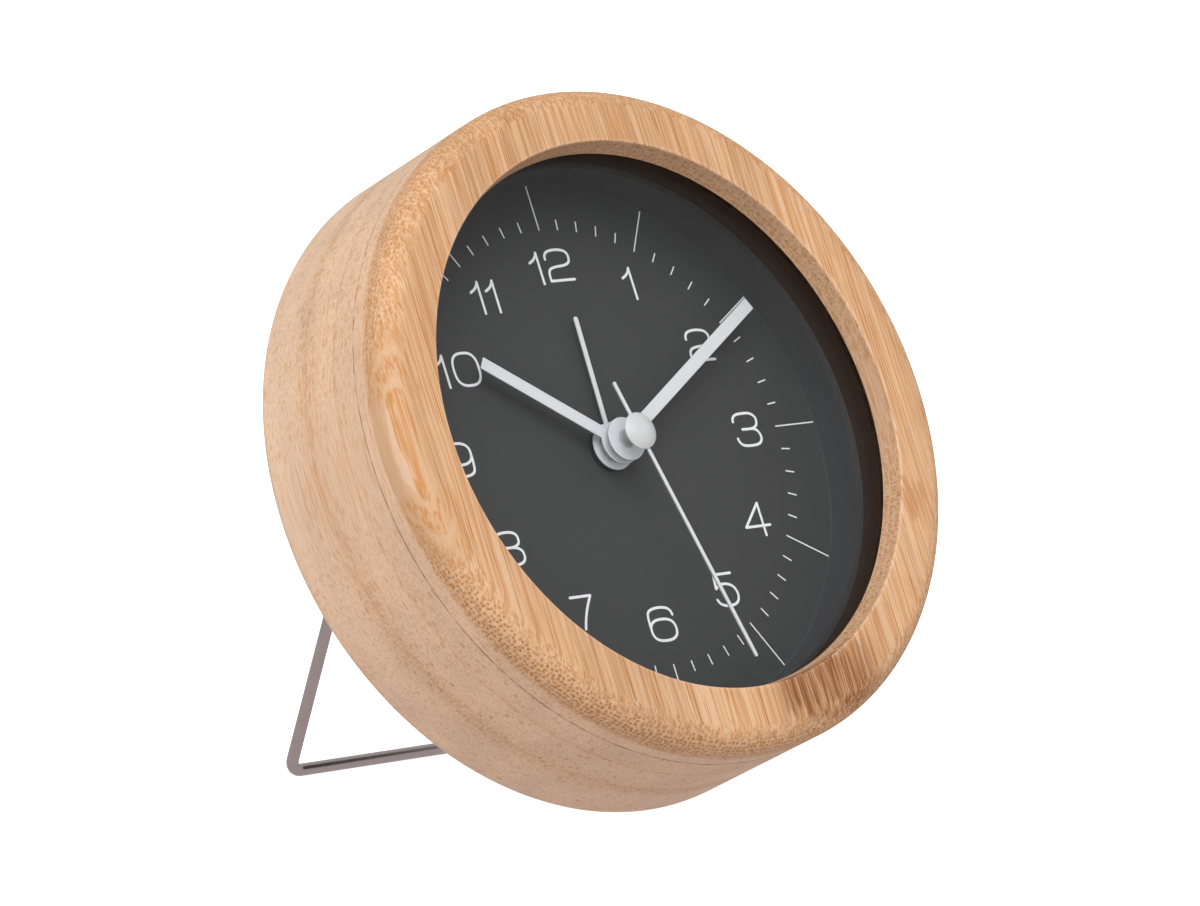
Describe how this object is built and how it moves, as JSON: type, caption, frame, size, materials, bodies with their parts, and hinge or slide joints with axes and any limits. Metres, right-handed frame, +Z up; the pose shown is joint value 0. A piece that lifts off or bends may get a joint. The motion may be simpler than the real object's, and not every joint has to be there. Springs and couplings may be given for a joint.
{
  "type": "desk alarm clock",
  "caption": "Round bamboo desk alarm clock: turning hands over a numbered dark dial under a flat lens, rear setting knobs, alarm switch and battery door, and a folding wire stand.",
  "frame": {"origin": "on the floor, at the middle of the clock's width and depth as it stands open on its wire", "axes": "+X to the viewer's right, +Y to the back, +Z up; the dial leans back 26 degrees and faces -Y"},
  "size_m": [0.125, 0.0998, 0.127],
  "materials": {
    "bamboo": "sanded bamboo, clear matt lacquer",
    "clear_lens": "clear, polished",
    "dark_ring": "matt brown black",
    "dial_print": "matt dark grey with white print",
    "black_plastic": "fine moulded texture",
    "movement_plastic": "fine moulded texture",
    "knob_plastic": "satin",
    "stand_steel": "satin drawn wire",
    "screw_steel": "zinc plated",
    "magnet": "dull",
    "soft_iron": "stamped",
    "bobbin_plastic": "natural",
    "copper": "enamelled wire",
    "board_green": "solder resist",
    "crystal_can": "drawn can",
    "chip_black": "potted",
    "buzzer_brass": "rolled sheet",
    "wheel_plastic": "moulded natural acetal",
    "battery_jacket": "plain jacket",
    "contact_nickel": "nickel plated",
    "hand_white": "matt white lacquer",
    "cap_white": "satin white"
  },
  "bodies": {
    "case": {"front_ring": "bamboo", "case_body": "bamboo", "lens": "clear_lens", "spacer_ring": "dark_ring", "dial": "dial_print", "dial_plate": "black_plastic", "rear_cover": "black_plastic", "cover_screws": "screw_steel", "movement_front": "movement_plastic", "movement_housing": "movement_plastic", "movement_screws": "screw_steel", "stator": "soft_iron", "coil_bobbin": "bobbin_plastic", "coil_winding": "copper", "circuit_board": "board_green", "quartz_crystal": "crystal_can", "circuit_chip": "chip_black", "buzzer": "buzzer_brass", "battery": "battery_jacket", "contact_minus": "contact_nickel", "contact_plus": "contact_nickel"},
    "wire_stand": {"stand": "stand_steel"},
    "seconds": {"seconds_wheel": "wheel_plastic", "second_hand": "hand_white", "hub_cap": "cap_white"},
    "minutes": {"minute_wheel": "wheel_plastic", "minute_hand": "hand_white"},
    "hours": {"hour_wheel": "wheel_plastic", "hour_hand": "hand_white"},
    "alarm": {"alarm_wheel": "wheel_plastic", "alarm_hand": "hand_white"},
    "third": {"third_wheel": "wheel_plastic"},
    "intermediate": {"intermediate_wheel": "wheel_plastic"},
    "motor": {"rotor": "magnet"},
    "motion": {"motion_wheel": "wheel_plastic"},
    "time_setter": {"time_knob": "knob_plastic"},
    "alarm_setter": {"alarm_knob": "knob_plastic"},
    "switch": {"alarm_switch": "knob_plastic"},
    "door": {"battery_door": "black_plastic"}
  },
  "joints": [
    {"name": "stand_fold", "type": "hinge", "parent": "case", "child": "wire_stand", "pos_m": [0, 0.02093, 0.07251], "axis": [1, 0, 0], "range_deg": [-47.2, 0]},
    {"name": "second_turn", "type": "hinge", "parent": "case", "child": "seconds", "pos_m": [0, -0.01444, 0.06774], "axis": [0, -0.8988, 0.4384], "continuous": true},
    {"name": "motor_turn", "type": "hinge", "parent": "case", "child": "motor", "pos_m": [-0.01511, 0.01227, 0.06981], "axis": [0, -0.8988, 0.4384], "continuous": true},
    {"name": "intermediate_turn", "type": "hinge", "parent": "case", "child": "intermediate", "pos_m": [-0.01091, 0.01097, 0.06235], "axis": [0, -0.8988, 0.4384], "continuous": true},
    {"name": "third_turn", "type": "hinge", "parent": "case", "child": "third", "pos_m": [0.00612, 0.00962, 0.06779], "axis": [0, -0.8988, 0.4384], "continuous": true},
    {"name": "minute_turn", "type": "hinge", "parent": "case", "child": "minutes", "pos_m": [0, -0.01103, 0.06607], "axis": [0, -0.8988, 0.4384], "continuous": true},
    {"name": "motion_turn", "type": "hinge", "parent": "case", "child": "motion", "pos_m": [0.012, 0.00129, 0.06007], "axis": [0, -0.8988, 0.4384], "continuous": true},
    {"name": "hour_turn", "type": "hinge", "parent": "case", "child": "hours", "pos_m": [0, -0.00932, 0.06524], "axis": [0, -0.8988, 0.4384], "continuous": true},
    {"name": "time_knob_turn", "type": "hinge", "parent": "case", "child": "time_setter", "pos_m": [0.02239, 0.00809, 0.05007], "axis": [0, -0.8988, 0.4384], "continuous": true},
    {"name": "alarm_turn", "type": "hinge", "parent": "case", "child": "alarm", "pos_m": [0, -0.00734, 0.06427], "axis": [0, -0.8988, 0.4384], "continuous": true},
    {"name": "alarm_knob_turn", "type": "hinge", "parent": "case", "child": "alarm_setter", "pos_m": [-0.01305, 0.00806, 0.04999], "axis": [0, -0.8988, 0.4384], "continuous": true},
    {"name": "switch_slide", "type": "slide", "parent": "case", "child": "switch", "axis": [1, 0, 0], "range_m": [0, 0.004]},
    {"name": "door_lift", "type": "slide", "parent": "case", "child": "door", "axis": [0, 0.8988, -0.4384], "range_m": [0, 0.02]}
  ],
  "couplings": [
    {"joint": "motor_turn", "follows": "second_turn", "ratio": 30},
    {"joint": "intermediate_turn", "follows": "second_turn", "ratio": -5},
    {"joint": "third_turn", "follows": "second_turn", "ratio": -0.13333},
    {"joint": "minute_turn", "follows": "second_turn", "ratio": 0.016667},
    {"joint": "motion_turn", "follows": "second_turn", "ratio": -0.0055556},
    {"joint": "hour_turn", "follows": "second_turn", "ratio": 0.0013889},
    {"joint": "time_knob_turn", "follows": "second_turn", "ratio": 0.016667},
    {"joint": "alarm_knob_turn", "follows": "alarm_turn", "ratio": -3}
  ]
}
